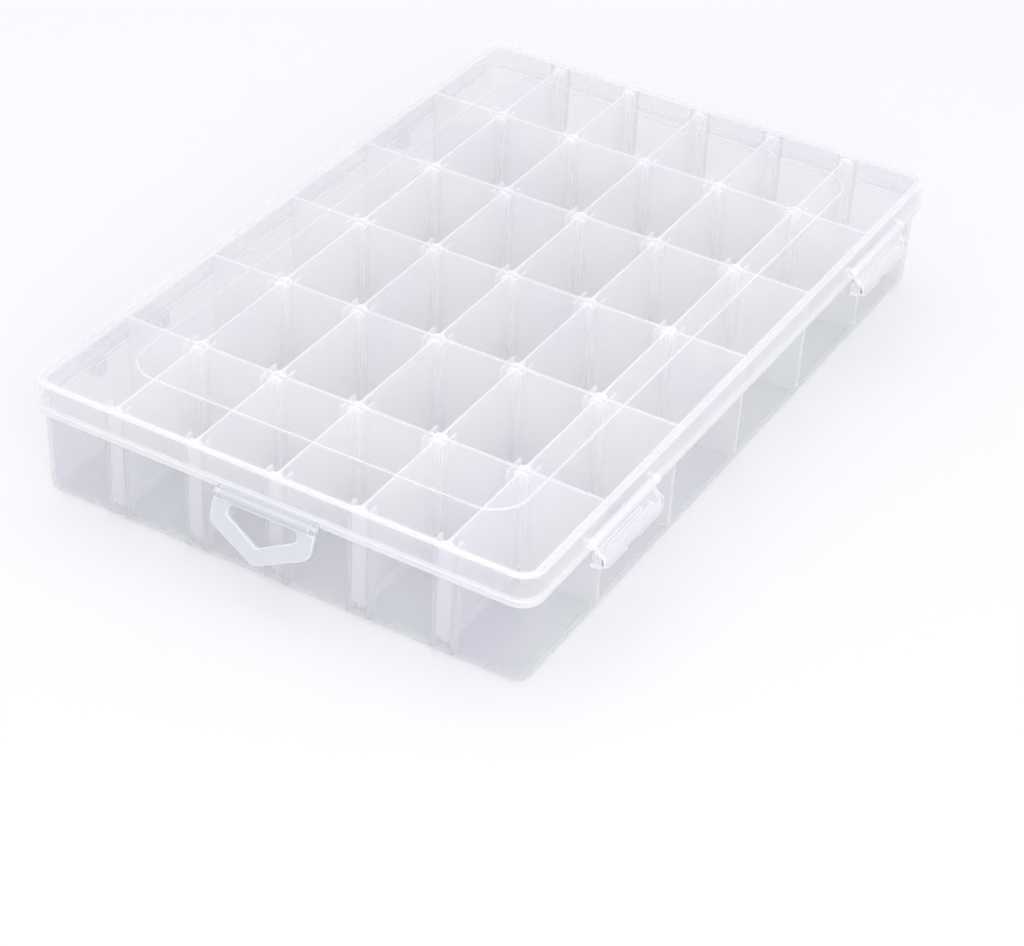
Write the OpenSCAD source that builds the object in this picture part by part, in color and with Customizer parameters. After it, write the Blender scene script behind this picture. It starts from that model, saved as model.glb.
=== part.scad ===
// Embroidery thread box: a shallow compartment box of clear polypropylene with
// a hinged lid, two snap latches, a hang tab and lift-out dividers.
// X runs along the long side, +Y is the hinge side, -Y the latch side, and the
// hang tab is on the -X end. The origin is the centre of the tray's underside.

/* [Lid] */
// Length of the lid along X
lid_length = 274; // [240:1:320]
// Width of the lid along Y
lid_width = 177; // [150:1:200]
// Plan radius of the lid's four corners
lid_corner_radius = 7.5; // [6.5:0.5:14]
// Thickness of the lid's skirt
lid_wall = 1.2; // [1:0.1:1.6]
// Thickness of the lid's top
lid_top = 1.2; // [1:0.1:2]
// Radius of the rounded edge between top and skirt
lid_edge_round = 1.5; // [1:0.1:2.5]
// Depth of the skirt below the rim of the lid
skirt_depth = 10; // [9:0.5:14]
// Distance from the lid's edge to its raised panel
panel_inset = 20.2; // [14:0.2:30]
// Plan radius of the raised panel's corners
panel_corner_radius = 12; // [6:1:20]
// Height of the raised panel above the lid's rim
panel_rise = 0.4; // [0.3:0.1:1.2]

/* [Tray] */
// Height of the closed box without the raised panel
rim_height = 42; // [36:0.5:60]
// Thickness of the tray's walls
tray_wall = 1.3; // [1.1:0.1:1.8]
// Thickness of the tray's floor
tray_floor = 1.3; // [1:0.1:2]
// Distance from the lid's outer face to the top of the tray's wall
tray_inset = 2; // [1.9:0.1:3]
// How far the walls lean in towards the floor
wall_draft = 0.4; // [0.2:0.1:1.5]
// Radius of the rounded edge between wall and floor
tray_edge_round = 3; // [2.4:0.1:3.2]
// Height of the ledge that runs round the tray under the skirt
ledge_height = 1.9; // [1.5:0.1:3]
// Distance from the lid's outer face to the edge of the ledge
ledge_inset = 0.4; // [0.3:0.1:0.8]
// Gap between parts that rest on each other
seat_gap = 0.3; // [0.2:0.05:0.5]

/* [Compartments] */
// Number of compartments along X
columns = 6; // [4:1:6]
// Number of compartments along Y
rows = 6; // [4:1:6]
// How much narrower the cells along the walls are than the others
end_cell_less = 2.3; // [0:0.1:4]
// Thickness of the fixed partitions
partition_thickness = 1.2; // [1:0.1:1.6]
// Drop from the tray's rim to the top of the partitions
partition_drop = 0.5; // [0.3:0.1:2]
// Thickness of a guide rib
rib_thickness = 0.9; // [0.8:0.1:1.4]
// How far a guide rib stands out from its wall
rib_depth = 3.6; // [2.5:0.1:4.5]
// Thickness of a divider's plate
divider_thickness = 1; // [0.8:0.1:1.6]
// Width of the flange at each end of a divider
flange_width = 5.3; // [4:0.1:6]
// Thickness of that flange
flange_thickness = 1.1; // [0.9:0.1:1.6]
// Clearance round a divider in its slots
slot_gap = 0.3; // [0.25:0.05:0.5]
// Radius of a divider's lower corners
divider_corner = 3.5; // [2:0.5:5]

/* [Hinges and latches] */
// Distance from the lid's end to the middle of each hinge and latch
hinge_inset = 49; // [42:1:60]
// Length of the lid's hinge barrel
barrel_length = 27; // [18:1:32]
// Radius of the hinge barrel
barrel_radius = 2.6; // [2.3:0.1:2.8]
// Radius of the hinge trunnions
trunnion_radius = 1.4; // [1:0.1:1.6]
// Running clearance between a trunnion and its bore
running_gap = 0.08; // [0.05:0.01:0.1]
// Gap between a knuckle's end and the cheek beside it
side_gap = 0.3; // [0.2:0.05:0.5]
// Width of the tray's hinge cheeks
cheek_width = 5; // [3:0.5:7]
// Distance from the lid's face out to the hinge axis
hinge_reach = 3.2; // [3.1:0.1:4]
// Drop from the skirt's lower edge to the hinge axis
hinge_drop = 3.9; // [3.6:0.1:5]
// Length of a latch along X
latch_length = 36; // [24:1:44]
// How far a latch stands out from the lid's face
latch_reach = 6; // [5.5:0.1:7.5]
// Thickness of the latch's wall
latch_wall = 1.4; // [1.2:0.1:1.6]
// Radius of a latch's barrel
latch_barrel_radius = 1.6; // [1.5:0.05:1.7]
// Radius of a latch's trunnions
latch_pin_radius = 0.9; // [0.7:0.05:1]
// Width of the ears that carry a latch
ear_width = 1.7; // [1.2:0.1:3]
// Width of the notch in a latch's lip
notch_width = 7; // [4:0.5:12]

/* [Hang tab] */
// Greatest width of the hang tab
tab_width = 35.6; // [28:0.2:44]
// Length of the hang tab from its axis to its tip
tab_length = 17.4; // [15:0.2:22]
// Thickness of the hang tab
tab_thickness = 1.6; // [1.2:0.1:2]
// Width of the frame round the tab's hole
tab_frame = 5.6; // [3.5:0.1:6]
// Outward lean of the tab at rest
tab_lean = 22; // [0:1:30]
// Radius of the tab's barrel
tab_barrel_radius = 1.3; // [1.1:0.05:1.4]
// Radius of the tab's trunnions
tab_pin_radius = 0.65; // [0.5:0.05:0.8]

/* [Hidden] */
$fn = 64;
hull_fn = 32;
clear_plastic = [0.88, 0.89, 0.92, 0.5];
milky_plastic = [0.94, 0.95, 0.97, 0.8];
cut = 1;
sides = [-1, 1];

half_length = lid_length / 2;
half_width = lid_width / 2;
skirt_bottom = rim_height - skirt_depth;
lid_underside = rim_height - lid_top;

tray_top = lid_underside - seat_gap;
tray_corner_radius = lid_corner_radius - tray_inset;
wall_depth = tray_inset + (tray_wall + wall_draft) / 2;
ledge_top = skirt_bottom - seat_gap;
ledge_bottom = ledge_top - ledge_height;

inner_half_length = half_length - tray_inset - wall_draft - tray_wall;
inner_half_width = half_width - tray_inset - wall_draft - tray_wall;
column_pitch = 2 * (inner_half_length + end_cell_less) / columns;
row_pitch = 2 * (inner_half_width + end_cell_less) / rows;
partition_top = tray_top - partition_drop;
slot_width = flange_width + 2 * slot_gap;
divider_base = tray_floor + seat_gap;
divider_top = partition_top - seat_gap;

hinge_x = half_length - hinge_inset;
hinge_y = half_width + hinge_reach;
hinge_z = skirt_bottom - hinge_drop;
lug_thickness = 1.8;
lug_drop = 3;
lug_slope = 2.5;
lug_top = rim_height - lug_drop;
cheek_offset = barrel_length / 2 + side_gap;

latch_axis_drop = 5.4;
latch_axis_out = latch_barrel_radius + seat_gap;
latch_axis_z = rim_height - latch_axis_drop;
cove_radius = 6;
cove_set_out = 2.2;
cove_lift = 1.4;
cove_out = latch_reach + cove_set_out;
cove_z = latch_axis_z + cove_lift;
lip_radius = 8;
lip_set_in = 4.5;
lip_lift = 3.9;
lip_out = latch_reach - lip_set_in;
lip_z = ledge_bottom + lip_lift;
latch_face_gap = 0.4;
hook_in = ledge_inset - seat_gap;
hook_width = 1.4;
hook_root = 1;
hook_bottom = lip_z - lip_radius + hook_root;
hook_top = ledge_bottom - seat_gap;
notch_depth = 0.7;
notch_height = 2;
lip_edge_z = lip_z - sqrt(lip_radius * lip_radius - lip_set_in * lip_set_in);

tab_axis_x = half_length - ledge_inset + tab_barrel_radius + seat_gap;
tab_axis_drop = 1.9;
tab_axis_z = skirt_bottom - tab_axis_drop;
tab_ear_width = 1.8;
tab_barrel_half = tab_width / 2 - tab_ear_width - side_gap;
tab_ear_radius = 1.5;
tab_plate_top = tab_ear_radius + side_gap;
tab_shoulder = 6.6;
tab_corner = 4.5;
tab_tip = 3;
hole_top = 2.4;
tab_web = (tab_plate_top + hole_top) / 2 - tab_pin_radius;
hole_corner = 2;
hole_tip = 1.5;

function column_line(c) = (c - columns / 2) * column_pitch;
function row_line(r) = (r - rows / 2) * row_pitch;
function divider_name(c, r) = str("divider_c", c, "_r", r);

// Rectangle with true round corners
module rounded_rect(length, width, radius) {
    square([length - 2 * radius, width], center = true);
    square([length, width - 2 * radius], center = true);
    for (x = sides) for (y = sides)
        translate([x * (length / 2 - radius), y * (width / 2 - radius)]) circle(radius);
}

// Extrudes a profile drawn as (depth, height) along X, centred on x = 0
module along_x(length) {
    rotate([90, 0, 90]) linear_extrude(length, center = true) children();
}

// Ring with a round rim, for the rounded edge at a corner of the given radius
module edge_ring(corner, edge) {
    rotate_extrude($fn = hull_fn) intersection() {
        translate([corner - edge, 0]) circle(edge, $fn = hull_fn);
        translate([0, -edge]) square([corner, 2 * edge]);
    }
}

// The drafted outer form of the tray, or of a form set inside it
module tray_form(inset, bottom, top) {
    corner = tray_corner_radius - inset;
    edge = tray_edge_round - inset;
    hull() {
        for (x = sides) for (y = sides) {
            translate([
                x * (half_length - tray_inset - wall_draft - inset - corner),
                y * (half_width - tray_inset - wall_draft - inset - corner),
                bottom + edge
            ])
                edge_ring(corner, edge);
            translate([
                x * (half_length - tray_inset - inset - corner),
                y * (half_width - tray_inset - inset - corner),
                top - tray_edge_round
            ])
                cylinder(r = corner, h = tray_edge_round, $fn = hull_fn);
        }
    }
}

// Pair of guide ribs on both faces of a wall that stands at x
module rib_pairs(x, reach) {
    for (r = [1:rows - 1]) for (side = sides)
        translate([x, row_line(r) + side * (slot_width + rib_thickness) / 2])
            square([2 * reach, rib_thickness], center = true);
}

// Fixed partitions across the tray with their guide ribs, in plan
module partition_plan() {
    for (c = [1:columns - 1]) {
        translate([column_line(c), 0]) square([partition_thickness, lid_width], center = true);
        rib_pairs(column_line(c), partition_thickness / 2 + rib_depth);
    }
    for (side = sides) rib_pairs(side * (inner_half_length + tray_wall), tray_wall + rib_depth);
}

// Cheek that carries one trunnion of a hinge
module hinge_cheek() {
    along_x(cheek_width) difference() {
        union() {
            translate([hinge_y, hinge_z]) circle(barrel_radius);
            translate([half_width - wall_depth, hinge_z - barrel_radius])
                square([hinge_reach + wall_depth, 2 * barrel_radius]);
        }
        translate([hinge_y, hinge_z]) circle(trunnion_radius + running_gap);
    }
}

// Ear that carries one trunnion of the hang tab
module tab_ear() {
    rotate([90, 0, 0]) linear_extrude(tab_ear_width, center = true) difference() {
        union() {
            translate([-tab_axis_x, tab_axis_z]) circle(tab_ear_radius);
            translate([-tab_axis_x, tab_axis_z - tab_ear_radius])
                square([tab_axis_x - half_length + wall_depth, 2 * tab_ear_radius]);
        }
        translate([-tab_axis_x, tab_axis_z]) circle(tab_pin_radius + running_gap);
    }
}

// Tray: floor, walls, ledge, fixed partitions, guide ribs, cheeks and ears
module tray() color(clear_plastic) {
    difference() {
        tray_form(0, 0, tray_top);
        tray_form(tray_wall, tray_floor, tray_top + cut);
    }
    intersection() {
        tray_form(tray_wall / 2, tray_floor / 2, tray_top);
        linear_extrude(partition_top) partition_plan();
    }
    translate([0, 0, ledge_bottom]) linear_extrude(ledge_height) difference() {
        rounded_rect(
            lid_length - 2 * ledge_inset,
            lid_width - 2 * ledge_inset,
            lid_corner_radius - ledge_inset
        );
        rounded_rect(lid_length - 2 * wall_depth, lid_width - 2 * wall_depth, tray_corner_radius);
    }
    for (x = sides) for (end = sides)
        translate([x * hinge_x + end * (cheek_offset + cheek_width / 2), 0, 0]) hinge_cheek();
    for (end = sides)
        translate([0, end * (tab_barrel_half + side_gap + tab_ear_width / 2), 0]) tab_ear();
}

// Solid outer form of the lid's shell
module lid_form() {
    hull() for (x = sides) for (y = sides)
        translate([x * (half_length - lid_corner_radius), y * (half_width - lid_corner_radius), 0]) {
            translate([0, 0, rim_height - lid_edge_round]) edge_ring(lid_corner_radius, lid_edge_round);
            translate([0, 0, skirt_bottom]) cylinder(r = lid_corner_radius, h = cut, $fn = hull_fn);
        }
}

// Lug on the lid's back that turns between two cheeks on its trunnions
module hinge_lug() {
    along_x(barrel_length) {
        translate([hinge_y, hinge_z]) circle(barrel_radius);
        polygon([
            [half_width, hinge_z],
            [half_width, skirt_bottom + lid_wall],
            [half_width - lid_wall / 2, skirt_bottom + lid_wall],
            [half_width - lid_wall / 2, lug_top],
            [half_width, lug_top],
            [half_width + lug_thickness, lug_top - lug_slope],
            [hinge_y, hinge_z + barrel_radius],
            [hinge_y, hinge_z]
        ]);
    }
    along_x(2 * (cheek_offset + cheek_width)) translate([hinge_y, hinge_z]) circle(trunnion_radius);
}

// Ear on the lid's front that carries one trunnion of a latch
module latch_ear() {
    along_x(ear_width) difference() {
        union() {
            translate([-half_width - latch_axis_out, latch_axis_z]) circle(latch_barrel_radius);
            translate([-half_width - latch_axis_out, latch_axis_z - latch_barrel_radius])
                square([latch_axis_out + lid_wall / 2, 2 * latch_barrel_radius]);
        }
        translate([-half_width - latch_axis_out, latch_axis_z]) circle(latch_pin_radius + running_gap);
    }
}

// Lid: top with its raised panel, skirt, hinge lugs and latch ears
module lid() color(clear_plastic) {
    difference() {
        union() {
            lid_form();
            translate([0, 0, rim_height - lid_top / 2]) linear_extrude(panel_rise + lid_top / 2)
                rounded_rect(lid_length - 2 * panel_inset, lid_width - 2 * panel_inset, panel_corner_radius);
        }
        translate([0, 0, skirt_bottom - cut]) linear_extrude(lid_underside - skirt_bottom + cut)
            rounded_rect(lid_length - 2 * lid_wall, lid_width - 2 * lid_wall, lid_corner_radius - lid_wall);
        translate([0, 0, lid_underside - cut]) linear_extrude(panel_rise + cut)
            rounded_rect(
                lid_length - 2 * (panel_inset + lid_wall),
                lid_width - 2 * (panel_inset + lid_wall),
                panel_corner_radius - lid_wall
            );
    }
    for (x = sides) translate([x * hinge_x, 0, 0]) {
        hinge_lug();
        for (end = sides) translate([end * (latch_length / 2 + side_gap + ear_width / 2), 0, 0]) latch_ear();
    }
}

// End view of a latch's body, drawn as (outward, height) from the lid's face,
// from the plane at `back` to the latch's front, and set in by `inset`
module latch_outline(back, inset) {
    difference() {
        intersection() {
            translate([back, lip_z - lip_radius])
                square([latch_reach - inset - back, latch_axis_z - lip_z + lip_radius]);
            union() {
                translate([lip_out, lip_z]) circle(lip_radius - inset);
                translate([back, lip_z]) square([latch_reach - back, cove_radius]);
            }
        }
        translate([cove_out, cove_z]) circle(cove_radius + inset);
    }
}

// End view of a latch: barrel, cove, lip and the hook that clicks past the ledge
module latch_profile() {
    difference() {
        latch_outline(-hook_in, 0);
        latch_outline(-hook_in - cut, latch_wall);
        translate([-hook_in - cut, hook_top]) square([hook_in + cut + latch_face_gap, rim_height]);
    }
    translate([-hook_in, hook_bottom]) square([hook_width, hook_top - hook_bottom]);
    translate([latch_axis_out, latch_axis_z]) circle(latch_barrel_radius);
}

// Latch: a sprung cover that clicks past the tray's ledge
module latch() color(clear_plastic) {
    difference() {
        along_x(latch_length) translate([-half_width, 0]) mirror([1, 0]) latch_profile();
        translate([-notch_width / 2, -half_width - latch_reach - cut, lip_z - lip_radius])
            cube([notch_width, notch_depth + cut, lip_edge_z + notch_height - lip_z + lip_radius]);
    }
    along_x(latch_length + 2 * (side_gap + ear_width))
        translate([-half_width - latch_axis_out, latch_axis_z]) circle(latch_pin_radius);
}
module latch_left() translate([-hinge_x, 0, 0]) latch();
module latch_right() translate([hinge_x, 0, 0]) latch();

// Outline of the hang tab's plate, drawn as (across, down) from its axis
module tab_outline() {
    hull() {
        translate([-tab_width / 2, tab_plate_top]) square([tab_width, tab_shoulder - tab_plate_top]);
        for (side = sides)
            translate([side * (tab_width / 2 - tab_corner), tab_shoulder]) circle(tab_corner, $fn = hull_fn);
        translate([0, tab_length - tab_tip]) circle(tab_tip, $fn = hull_fn);
    }
}

// Outline of the hole in the hang tab, drawn the same way
module tab_hole() {
    hull() {
        for (side = sides)
            translate([side * (tab_width / 2 - tab_frame - hole_corner), hole_top + hole_corner])
                circle(hole_corner, $fn = hull_fn);
        translate([0, tab_length - tab_frame - hole_tip]) circle(hole_tip, $fn = hull_fn);
    }
}

// Hang tab: a flat loop on a barrel that folds out to hang the box by
module hang_tab() color(milky_plastic) translate([-tab_axis_x, 0, tab_axis_z]) {
    rotate([90, 0, 0]) cylinder(r = tab_barrel_radius, h = 2 * tab_barrel_half, center = true);
    rotate([90, 0, 0])
        cylinder(r = tab_pin_radius, h = 2 * (tab_barrel_half + side_gap + tab_ear_width), center = true);
    rotate([0, tab_lean, 0]) rotate([0, 90, 0]) {
        linear_extrude(tab_thickness, center = true) rotate([0, 0, -90]) difference() {
            tab_outline();
            tab_hole();
        }
        translate([tab_pin_radius, side_gap - tab_barrel_half, -tab_thickness / 2])
            cube([tab_web, 2 * (tab_barrel_half - side_gap), tab_thickness]);
    }
}

// Divider: a plate with a flange at each end that drops between guide ribs
module divider(c, r) color(clear_plastic) {
    start = max(column_line(c - 1) + partition_thickness / 2, -inner_half_length) + slot_gap;
    end = min(column_line(c) - partition_thickness / 2, inner_half_length) - slot_gap;
    translate([0, row_line(r), 0]) {
        rotate([90, 0, 0]) linear_extrude(divider_thickness, center = true) {
            translate([start, divider_base + divider_corner])
                square([end - start, divider_top - divider_base - divider_corner]);
            translate([start + divider_corner, divider_base])
                square([end - start - 2 * divider_corner, divider_corner + cut]);
            for (x = [start + divider_corner, end - divider_corner])
                translate([x, divider_base + divider_corner]) circle(divider_corner);
        }
        for (x = [start, end - flange_thickness])
            translate([x, -flange_width / 2, divider_base + divider_corner])
                cube([flange_thickness, flange_width, divider_top - divider_base - divider_corner]);
    }
}

tray();
lid();
latch_left();
latch_right();
hang_tab();
for (c = [1:columns]) for (r = [1:rows - 1])
    divider(c, r);
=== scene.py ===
"""Looks of the embroidery thread box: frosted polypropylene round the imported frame.

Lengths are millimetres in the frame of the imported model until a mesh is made, which
is in metres. X runs along the long side and +Y is the hinge side.
"""

import logging
import math
from dataclasses import dataclass, field
from enum import Enum
from typing import Callable, Iterable, Sequence

import bmesh
import bpy
from mathutils import Matrix, Vector


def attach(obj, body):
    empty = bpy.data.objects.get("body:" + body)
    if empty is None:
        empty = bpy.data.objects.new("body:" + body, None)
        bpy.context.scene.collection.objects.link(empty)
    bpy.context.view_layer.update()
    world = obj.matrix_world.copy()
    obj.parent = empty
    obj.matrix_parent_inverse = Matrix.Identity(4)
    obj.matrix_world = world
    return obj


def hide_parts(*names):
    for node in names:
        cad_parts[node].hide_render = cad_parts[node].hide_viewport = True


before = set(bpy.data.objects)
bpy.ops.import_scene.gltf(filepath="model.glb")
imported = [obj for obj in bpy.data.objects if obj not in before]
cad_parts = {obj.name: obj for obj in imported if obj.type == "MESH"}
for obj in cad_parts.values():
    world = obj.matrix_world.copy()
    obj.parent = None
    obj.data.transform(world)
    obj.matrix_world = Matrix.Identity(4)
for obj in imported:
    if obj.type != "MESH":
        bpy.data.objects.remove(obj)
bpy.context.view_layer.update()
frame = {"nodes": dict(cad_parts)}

LOG = logging.getLogger("thread_box")
MM = 0.001
# Mesh attribute that carries the painted edge highlight, from 0 to 1
EDGE = "edge"
SMOOTH_BELOW = math.radians(38)
WHITE = (1.0, 1.0, 1.0, 1.0)
POLYPROPYLENE_IOR = 1.49
SQUARE_SHINE = 0.04
LAVENDER_END, TEAL_END = -78 * MM, -84 * MM
FLOOR_END, WALL_START = 1.2 * MM, 5 * MM

Point = tuple[float, float, float]
Flat = tuple[float, float]


def linear(code: str) -> tuple[float, float, float, float]:
    """Turn an sRGB hex code into a linear colour.

    Args:
        code: Six hex digits, with or without a leading #.

    Returns:
        Linear red, green, blue and an alpha of 1.
    """
    digits = code.lstrip("#")
    values = [int(digits[i:i + 2], 16) / 255 for i in (0, 2, 4)]
    red, green, blue = (
        v / 12.92 if v <= 0.04045 else ((v + 0.055) / 1.055) ** 2.4 for v in values
    )
    return red, green, blue, 1.0


def add_node(
    tree: bpy.types.NodeTree,
    kind: str,
    inputs: dict | None = None,
    **settings: object,
) -> bpy.types.Node:
    """Add a node with its settings, values and links.

    Args:
        tree: Node tree that gets the node.
        kind: Blender's name of the node type.
        inputs: Values or output sockets by input name or index.
        **settings: Attributes of the node itself.

    Returns:
        The new node.
    """
    node = tree.nodes.new(kind)
    for name, value in settings.items():
        setattr(node, name, value)
    for key, value in (inputs or {}).items():
        if isinstance(value, bpy.types.NodeSocket):
            tree.links.new(value, node.inputs[key])
        else:
            node.inputs[key].default_value = value
    return node


# Finishes


@dataclass(frozen=True)
class FrostedPlastic:
    """Injection-moulded polypropylene, frosted: each face of a wall is a thin milky veil.

    The veil is thin where a wall is seen square on (haze) and thicker where it is seen
    along its face (haze_grazing). Rounded edges carry a painted highlight: the edge
    attribute paints them nearly white (edge) and nearly opaque (haze_edge), in place of
    the light that runs out of the sheet there. The clear part of the light takes on the
    faint lavender and teal of the raw plastic, in clouds as wide as a compartment
    (cloud_mm) that lean to one tint on the outer walls (cast).
    """

    name: str
    slot: str
    haze: float = 0.1
    haze_grazing: float = 0.3
    haze_edge: float = 0.6
    cool: str = "#FCFCFD"
    plain: str = "#FCFCFC"
    fresh: str = "#FCFCFC"
    # Colour that the painted edge highlight paints towards
    edge: str = "#FFFFFF"
    clear_cool: str = "#FEFEFF"
    clear_plain: str = "#FFFFFF"
    clear_fresh: str = "#FFFFFF"
    translucency: float = 0.4
    roughness: float = 0.3
    gloss: float = 0.5
    cloud_mm: float = 38.0
    cast: float = 0.0

    def ramp(
        self, tree: bpy.types.NodeTree, level: bpy.types.NodeSocket, colours: Sequence[str]
    ) -> bpy.types.NodeSocket:
        """Spread three colours over a pattern.

        Args:
            tree: The material's tree.
            level: The pattern.
            colours: Hex codes from the pattern's low to its high end.

        Returns:
            The colour socket.
        """
        shade = add_node(tree, "ShaderNodeValToRGB", {"Fac": level})
        stops = shade.color_ramp.elements
        # Most of the noise lies between these stops, so all three colours show
        stops[0].position, stops[0].color = 0.38, linear(colours[0])
        stops[1].position, stops[1].color = 0.64, linear(colours[2])
        stops.new(0.5).color = linear(colours[1])
        return shade.outputs["Color"]

    def sides(
        self, tree: bpy.types.NodeTree, place: bpy.types.NodeSocket, cloud: bpy.types.NodeSocket
    ) -> bpy.types.NodeSocket:
        """Lean the pattern to lavender on the upright walls and to teal on the latch side.

        Args:
            tree: The material's tree.
            place: Object coordinates.
            cloud: The pattern.

        Returns:
            The pattern with its lean; on the floor it is unchanged.
        """
        axes = add_node(tree, "ShaderNodeSeparateXYZ", {"Vector": place}).outputs
        lean = add_node(tree, "ShaderNodeMapRange", {
            "Value": axes["Y"], "From Min": TEAL_END, "From Max": LAVENDER_END,
            "To Min": 0.2 * self.cast, "To Max": -self.cast,
        }).outputs["Result"]
        upright = add_node(tree, "ShaderNodeMapRange", {
            "Value": axes["Z"], "From Min": FLOOR_END, "From Max": WALL_START,
        }).outputs["Result"]
        return add_node(tree, "ShaderNodeMath", {
            0: lean, 1: upright, 2: cloud,
        }, operation="MULTIPLY_ADD").outputs[0]

    def material(self) -> bpy.types.Material:
        """Build the node material once and return it on later calls."""
        made = bpy.data.materials.get(self.name)
        if made:
            return made
        made = bpy.data.materials.new(self.name)
        made.use_nodes = True
        tree = made.node_tree
        tree.nodes.clear()
        place = add_node(tree, "ShaderNodeTexCoord").outputs["Object"]
        # The painted edge highlight stored on the mesh: it pulls the colour towards the edge colour
        edge = add_node(tree, "ShaderNodeAttribute", attribute_name=EDGE).outputs["Fac"]
        cloud = add_node(tree, "ShaderNodeTexNoise", {
            "Vector": place, "Scale": 1 / (self.cloud_mm * MM), "Detail": 0.0,
        }).outputs["Fac"]
        cloud = self.sides(tree, place, cloud) if self.cast else cloud
        shade = self.ramp(tree, cloud, (self.cool, self.plain, self.fresh))
        colour = add_node(tree, "ShaderNodeMix", {
            "Factor": edge, "A": shade, "B": linear(self.edge),
        }, data_type="RGBA").outputs["Result"]
        facing = add_node(tree, "ShaderNodeLayerWeight", {"Blend": 0.5}).outputs["Facing"]
        veil = add_node(tree, "ShaderNodeMapRange", {
            "Value": facing, "From Min": 0.2, "From Max": 1.0,
            "To Min": self.haze, "To Max": self.haze_grazing,
        }).outputs["Result"]
        # The painted edge highlight also makes the veil nearly opaque (haze_edge)
        veil = add_node(tree, "ShaderNodeMix", {
            "Factor": edge, "A": veil, "B": self.haze_edge,
        }, data_type="FLOAT").outputs["Result"]
        face = add_node(tree, "ShaderNodeBsdfPrincipled", {
            "Base Color": colour, "Roughness": self.roughness, "IOR": POLYPROPYLENE_IOR,
        }).outputs["BSDF"]
        through = add_node(tree, "ShaderNodeBsdfTranslucent", {"Color": colour}).outputs[0]
        body = add_node(tree, "ShaderNodeMixShader", {
            0: self.translucency, 1: face, 2: through,
        }).outputs[0]
        tint = self.ramp(tree, cloud, (self.clear_cool, self.clear_plain, self.clear_fresh))
        clear = add_node(tree, "ShaderNodeBsdfTransparent", {"Color": tint}).outputs[0]
        film = add_node(tree, "ShaderNodeMixShader", {0: veil, 1: clear, 2: body}).outputs[0]
        # A thin sheet reflects alike from both sides, little square on and all at grazing
        shine = add_node(tree, "ShaderNodeMath", {0: facing, 1: 5.0}, operation="POWER").outputs[0]
        shine = add_node(tree, "ShaderNodeMath", {
            0: shine, 1: (1 - SQUARE_SHINE) * self.gloss, 2: SQUARE_SHINE * self.gloss,
        }, operation="MULTIPLY_ADD")
        glint = add_node(tree, "ShaderNodeBsdfAnisotropic", {
            "Color": WHITE, "Roughness": self.roughness,
        }).outputs[0]
        whole = add_node(tree, "ShaderNodeMixShader", {
            0: shine.outputs[0], 1: film, 2: glint,
        }).outputs[0]
        add_node(tree, "ShaderNodeOutputMaterial", {"Surface": whole})
        return made


class Finish(Enum):
    """The box's finishes, each with the material slot of the record that it belongs to."""

    # Thin drafted wall: clear enough to show the plates behind it, with the raw plastic's cast
    TRAY = FrostedPlastic(
        "Frosted polypropylene, tray wall", "tray_polypropylene", haze=0.08, haze_grazing=0.16,
        clear_cool="#F8F8FA", clear_plain="#F9F9FA", clear_fresh="#F8F9F9", cast=0.2,
    )
    # Fine-textured inner walls read as white veils one behind the other
    WEB = FrostedPlastic(
        "Frosted polypropylene, partition", "tray_polypropylene", haze=0.36, haze_grazing=0.4,
    )
    # The lid is the smoothest moulding, and the clearest
    LID = FrostedPlastic(
        "Frosted polypropylene, lid", "lid_polypropylene", haze=0.07, haze_grazing=0.16,
    )
    LATCH = FrostedPlastic("Frosted polypropylene, latch", "latch_polypropylene", haze=0.13)
    DIVIDER = FrostedPlastic(
        "Frosted polypropylene, divider", "divider_polypropylene", haze=0.36, haze_grazing=0.4,
        haze_edge=0.9,
    )
    # The thick tab is milky all through
    TAB = FrostedPlastic(
        "Natural polypropylene, hang tab", "tab_polypropylene",
        haze=0.5, haze_grazing=0.7, haze_edge=0.95,
        cool="#EDEEF2", plain="#EEEFF2", fresh="#EDEFF2", edge="#F2F3F6",
    # edge is the colour of the tab's painted edge highlight
    )


# Mesh making


@dataclass(frozen=True)
class Ring:
    """One ring of a shell: inset from the lid's box, height, painted edge highlight and plan
    radius.
    """

    inset: float
    height: float
    painted_highlight: float = 0.0
    radius: float | None = None


def arc(
    centre: Flat, radius: float, start: float, end: float, steps: int
) -> list[Flat]:
    """Points on an arc, both ends included.

    Args:
        centre: Centre of the arc.
        radius: Its radius.
        start: First angle in degrees.
        end: Last angle in degrees.
        steps: Number of chords.

    Returns:
        The points in order.
    """
    return [
        (
            centre[0] + radius * math.cos(math.radians(start + (end - start) * i / steps)),
            centre[1] + radius * math.sin(math.radians(start + (end - start) * i / steps)),
        )
        for i in range(steps + 1)
    ]


def bend(
    inset: float, height: float, radius: float, turn: Flat, steps: int, painted_highlight: float
) -> list[Ring]:
    """Rings round a rounded edge.

    Args:
        inset: Inset of the arc's centre.
        height: Height of the arc's centre.
        radius: Radius of the rounding.
        turn: First and last angle in degrees; 0 is outwards and 90 is up.
        steps: Number of chords.
        painted_highlight: Painted edge highlight of the rings.

    Returns:
        The rings in order.
    """
    return [Ring(-x, z, painted_highlight) for x, z in arc((-inset, height), radius, *turn, steps)]


def rounded_rectangle(half_x: float, half_y: float, radius: float, steps: int) -> list[Flat]:
    """Outline of a rectangle with round corners, counter-clockwise.

    Args:
        half_x: Half its length.
        half_y: Half its width.
        radius: Radius of the corners.
        steps: Chords in each corner.

    Returns:
        The outline's points.
    """
    points: list[Flat] = []
    for turn, (side_x, side_y) in enumerate(((1, 1), (-1, 1), (-1, -1), (1, -1))):
        centre = (side_x * (half_x - radius), side_y * (half_y - radius))
        points += arc(centre, radius, 90 * turn, 90 * turn + 90, steps)
    return points


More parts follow.
